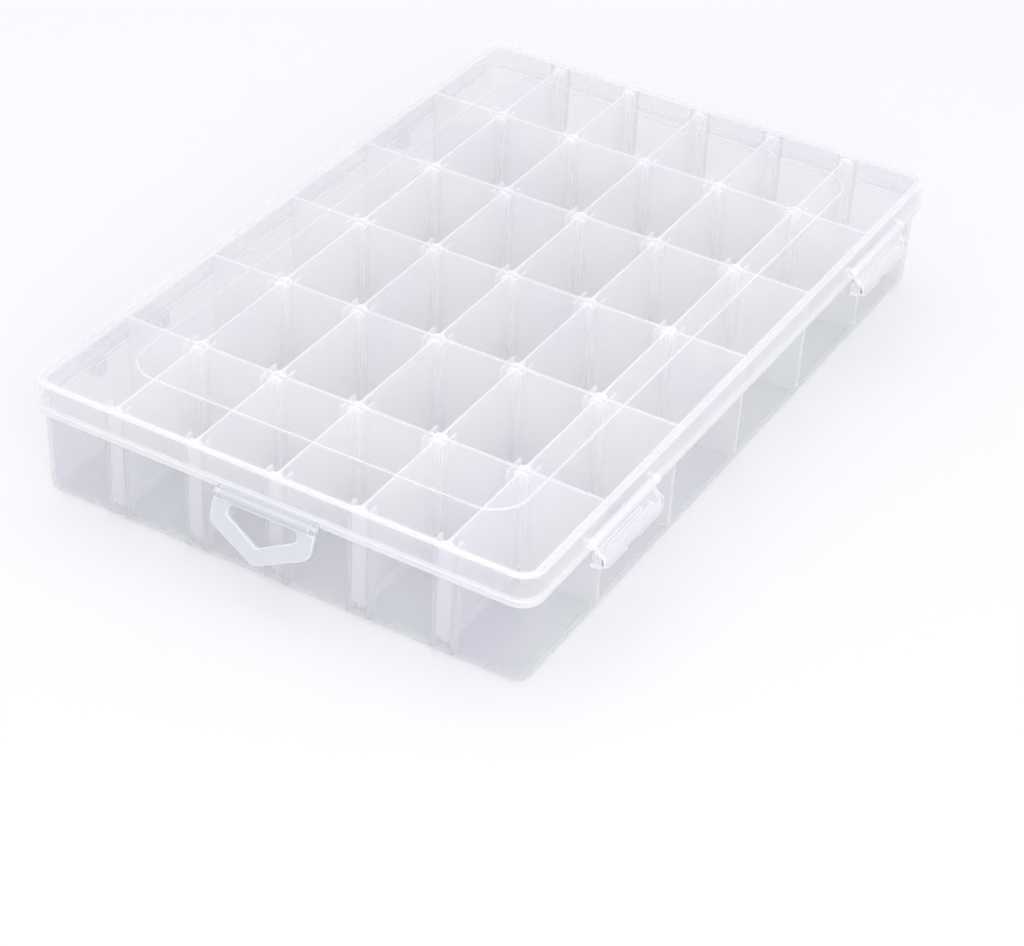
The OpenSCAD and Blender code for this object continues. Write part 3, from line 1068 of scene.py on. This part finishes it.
@dataclass
class HangTab:
    """The hang tab: a flat five-sided loop on a barrel, leaning out from the end wall."""

    box: BoxSizes
    axis_x: float = -138.2
    axis_z: float = 30.1
    width: float = 35.6
    length: float = 17.4
    thickness: float = 1.6
    frame: float = 5.6
    lean: float = 22.0
    barrel_radius: float = 1.3
    pin_radius: float = 0.65
    barrel_half: float = 15.7
    corner: float = 4.5
    tip: float = 3.0
    top: float = 1.8
    shoulder: float = 6.6
    hole_corner: float = 2.0
    hole_tip: float = 1.5
    hole_top: float = 2.4
    web_half: float = 15.4
    web_from: float = 0.65
    web_to: float = 2.1
    pin_out: float = 2.1

    def wrap(self, circles: Sequence[tuple[float, float, float]], start: list[Flat]) -> list[Flat]:
        """Convex outline round circles.

        Args:
            circles: Each circle as (across, down, radius).
            start: Further points that the outline takes in.

        Returns:
            The outline, counter-clockwise.
        """
        cloud = list(start)
        for u, v, r in circles:
            cloud += arc((u, v), r, 0, 354, 59)
        cloud.sort()

        def half(points: Iterable[Flat]) -> list[Flat]:
            """One half of the convex outline."""
            kept: list[Flat] = []
            for p in points:
                while len(kept) > 1 and (
                    (kept[-1][0] - kept[-2][0]) * (p[1] - kept[-2][1])
                    - (kept[-1][1] - kept[-2][1]) * (p[0] - kept[-2][0])
                ) <= 1e-9:
                    kept.pop()
                kept.append(p)
            return kept

        return half(cloud)[:-1] + half(reversed(cloud))[:-1]

    def make(self) -> None:
        """Build the tab and dress it."""
        half, corner = self.width / 2, self.corner
        plate = self.wrap(
            [(s * (half - corner), self.shoulder, corner) for s in (-1, 1)]
            + [(0.0, self.length - self.tip, self.tip)],
            [(-half, self.top), (half, self.top)],
        )
        across = half - self.frame - self.hole_corner
        hole = self.wrap(
            [(s * across, self.hole_top + self.hole_corner, self.hole_corner) for s in (-1, 1)]
            + [(0.0, self.length - self.frame - self.hole_tip, self.hole_tip)],
            [],
        )
        skin = Surface()
        lean = math.radians(self.lean)
        # (across, down, depth) to the frame: across is Y, down leans out to -X
        place = Matrix((
            (0, -math.sin(lean), -math.cos(lean), self.axis_x),
            (1, 0, 0, 0),
            (0, -math.cos(lean), math.sin(lean), self.axis_z),
            (0, 0, 0, 1),
        ))
        skin.prism([plate, hole], self.thickness, 0.4, place, face_painted_highlight=0.0)
        side, near, far = self.web_half, self.web_from, self.web_to
        web = [(-side, near), (side, near), (side, far), (-side, far)]
        skin.prism([web], self.thickness, 0.2, place)
        barrel = arc((self.axis_x, self.axis_z), self.barrel_radius, 0, 345, 23)
        pin = arc((self.axis_x, self.axis_z), self.pin_radius, 0, 330, 11)
        skin.prism([barrel], 2 * self.barrel_half, 0.25, ALONG_Y)
        skin.prism([pin], 2 * (self.barrel_half + self.pin_out), 0.15, ALONG_Y)
        piece = skin.build("hang_tab_loop", Finish.TAB, "hang_tab", ["hang_tab"])
        turn_out(piece)


@dataclass
class Divider:
    """A lift-out divider: a plate with a flange at each end."""

    box: BoxSizes
    column: int
    row: int
    gap: float = 0.3
    thickness: float = 1.0
    flange_width: float = 5.3
    flange_thickness: float = 1.1
    corner: float = 3.5
    inner_half_length: float = 133.3
    partition_half: float = 0.6
    foot_spread: float = 0.21
    top_round: float = 1.6
    web_blend: float = 2.5

    def outline(self, start: float, end: float, cut: float, wide: float) -> list[Point]:
        """Plan of the divider at one height, clockwise, with each point's painted highlight.

        Args:
            start: Where the divider starts along X.
            end: Where it ends.
            cut: How far its ends are drawn in.
            wide: Half the width of its flanges.

        Returns:
            Points as (x, y, painted highlight).
        """
        web, depth, soft = self.thickness / 2, self.flange_thickness, 0.2
        a, b = start + cut, end - cut
        right = [
            (b - depth, web, 1.0), (b - depth, wide - soft, 0.8), (b - depth + soft, wide, 0.7),
            (b - soft, wide, 0.7), (b, wide - soft, 0.8), (b, web, 1.0),
            (b, -web, 1.0), (b, soft - wide, 0.8), (b - soft, -wide, 0.7),
            (b - depth + soft, -wide, 0.7), (b - depth, soft - wide, 0.8), (b - depth, -web, 1.0),
            (b - depth - self.web_blend, -web, 0.0),
        ]
        left = [(a + b - x, -y, g) for x, y, g in right]
        far, near = b - depth - self.web_blend, a + depth + self.web_blend
        return [(far, web, 0.0), *right, (near, -web, 0.0), *left]

    def make(self) -> None:
        """Build the divider and dress it."""
        box = self.box
        left = box.column_line(self.column - 1) + self.partition_half
        right = box.column_line(self.column) - self.partition_half
        start = max(left, -self.inner_half_length) + self.gap
        end = min(right, self.inner_half_length) - self.gap
        base = box.floor + self.gap
        top = box.partition_top - self.gap
        y = box.row_line(self.row)
        narrow, wide = self.thickness / 2 + self.foot_spread, self.flange_width / 2
        round_top = self.top_round
        levels: list[tuple[float, float, float, float]] = []
        for cut, z in arc((self.corner, base + self.corner), self.corner, 270, 180, 6):
            levels.append((z, cut, narrow, 0.2))
        levels.append((base + self.corner, 0.0, wide, 0.3))
        levels.append((base + self.corner + 1.0, 0.0, wide, 0.0))
        levels.append((top - 9.0, 0.0, wide, 0.0))
        levels.append((top - round_top - 0.4, 0.0, wide, 0.1))
        for side, z in arc((wide - round_top, top - round_top), round_top, 0, 84, 5):
            levels.append((z, 0.0, side, 0.2))
        rings, painted_highlights = [], []
        for z, cut, half, painted_highlight in levels:
            plan = self.outline(start, end, cut, half)
            rings.append([(px, y + py, z) for px, py, _ in plan])
            # The flanges stand face to face in pairs; their painted highlight grows towards the
            # top, so they read as soft posts, brightest on top
            painted_top_light = 0.4 + 0.6 * ((z - base) / (top - base)) ** 2
            painted_highlights.append([min(painted_highlight + g * painted_top_light, 1.0) if g else painted_highlight * 0.6 for _, _, g in plan])
        skin = Surface()
        skin.loft(rings, lambda i, k: painted_highlights[i][k])
        node = f"divider_c{self.column}_r{self.row}"
        piece = skin.build(node + "_plate", Finish.DIVIDER, node, [node])
        turn_out(piece)


# The studio


@dataclass
class Studio:
    """Pale floor, soft lamps, white surroundings and the camera of the photograph."""

    key_power: float = 6.0
    fill_power: float = 2.0
    sky: float = 1.08
    floor_half: float = 3.0
    floor_lift: float = 0.2
    floor_drop: float = 0.0004
    aim: Point = (0.0, 0.0, 0.02)
    camera_spot: Point = (-641.482, -358.098, 495.842)
    turn: float = 0.503910446195555
    tilt: float = 0.6302389358308628
    roll: float = 0.05537057922227516
    sensor_mm: float = 36.0
    lens_mm: float = 93.51738

    def floor(self) -> None:
        """Lay the white floor, which keeps a soft shadow of the box."""
        skin = bpy.data.meshes.new("studio_floor")
        size, low = self.floor_half, -self.floor_drop
        skin.from_pydata(
            [(-size, -size, low), (size, -size, low), (size, size, low), (-size, size, low)],
            [], [(0, 1, 2, 3)],
        )
        floor = bpy.data.objects.new("studio_floor", skin)
        bpy.context.scene.collection.objects.link(floor)
        paper = bpy.data.materials.new("White studio paper")
        paper.use_nodes = True
        tree = paper.node_tree
        tree.nodes.clear()
        matt = add_node(tree, "ShaderNodeBsdfDiffuse", {"Color": linear("#CCCCCE")}).outputs[0]
        rays = add_node(tree, "ShaderNodeLightPath").outputs
        seen = add_node(tree, "ShaderNodeMath", {
            0: rays["Is Camera Ray"], 1: rays["Is Glossy Ray"],
        }, operation="MAXIMUM").outputs[0]
        # The camera sees paper white, while no more light than a grey floor's falls on the box
        seen = add_node(tree, "ShaderNodeMath", {
            0: seen, 1: self.floor_lift,
        }, operation="MULTIPLY").outputs[0]
        lift = add_node(tree, "ShaderNodeEmission", {"Color": WHITE, "Strength": seen}).outputs[0]
        both = add_node(tree, "ShaderNodeAddShader", {0: matt, 1: lift}).outputs[0]
        add_node(tree, "ShaderNodeOutputMaterial", {"Surface": both})
        skin.materials.append(paper)

    def surroundings(self) -> None:
        """Light the box from all sides, and show white where nothing stands."""
        world = bpy.data.worlds.new("white_surroundings")
        bpy.context.scene.world = world
        world.use_nodes = True
        tree = world.node_tree
        tree.nodes.clear()
        rays = add_node(tree, "ShaderNodeLightPath").outputs
        soft = add_node(tree, "ShaderNodeBackground", {
            "Color": linear("#FCFCFE"), "Strength": self.sky,
        }).outputs[0]
        white = add_node(tree, "ShaderNodeBackground", {"Color": WHITE, "Strength": 1.0}).outputs[0]
        whole = add_node(tree, "ShaderNodeMixShader", {
            0: rays["Is Camera Ray"], 1: soft, 2: white,
        }).outputs[0]
        add_node(tree, "ShaderNodeOutputWorld", {"Surface": whole})

    def lamp(self, name: str, spot: Point, size: float, power: float) -> None:
        """Hang one soft square lamp.

        Args:
            name: Name of the lamp.
            spot: Where it hangs, in metres.
            size: Side of its square.
            power: Its power in watts.
        """
        light = bpy.data.lights.new(name, "AREA")
        light.shape, light.size, light.energy = "SQUARE", size, power
        lamp = bpy.data.objects.new(name, light)
        lamp.location = spot
        lamp.rotation_euler = (Vector(self.aim) - Vector(spot)).to_track_quat("-Z", "Y").to_euler()
        bpy.context.scene.collection.objects.link(lamp)

    def camera(self) -> None:
        """Stand the camera where the photograph was taken from."""
        turn, tilt, roll = self.turn, self.tilt, self.roll
        look = Vector((
            math.cos(turn) * math.cos(tilt), math.sin(turn) * math.cos(tilt), -math.sin(tilt)
        ))
        level = look.cross(Vector((0, 0, 1))).normalized()
        above = level.cross(look)
        right = math.cos(roll) * level + math.sin(roll) * above
        up = -math.sin(roll) * level + math.cos(roll) * above
        lens = bpy.data.cameras.new("photo_camera")
        lens.sensor_width, lens.sensor_fit, lens.lens = self.sensor_mm, "HORIZONTAL", self.lens_mm
        lens.clip_start, lens.clip_end = 0.01, 20.0
        camera = bpy.data.objects.new("photo_camera", lens)
        turned = Matrix((right, up, -look)).transposed().to_4x4()
        camera.matrix_world = Matrix.Translation(Vector(self.camera_spot) * MM) @ turned
        bpy.context.scene.collection.objects.link(camera)
        bpy.context.scene.camera = camera

    def make(self) -> None:
        """Set up the studio."""
        self.camera()
        self.floor()
        self.surroundings()
        self.lamp("key", (-0.9, -0.75, 0.75), 0.7, self.key_power)
        self.lamp("fill", (0.2, 0.3, 1.2), 0.9, self.fill_power)
        scene = bpy.context.scene
        scene.view_settings.view_transform = "Standard"
        # Many thin veils stand behind one another, and light scatters from one to the next
        scene.cycles.transparent_max_bounces = 96
        scene.cycles.max_bounces = 20
        scene.cycles.diffuse_bounces = 12


def main() -> None:
    """Build every piece of the box and the studio round it."""
    logging.basicConfig(level=logging.INFO, format="%(message)s")
    box = BoxSizes()
    Tray(box).make()
    Lid(box).make()
    for side in (-1, 1):
        Latch(box, side).make()
    HangTab(box).make()
    for column in range(1, box.columns + 1):
        for row in range(1, box.rows):
            Divider(box, column, row).make()
    Studio().make()


if __name__ == "__main__":
    main()
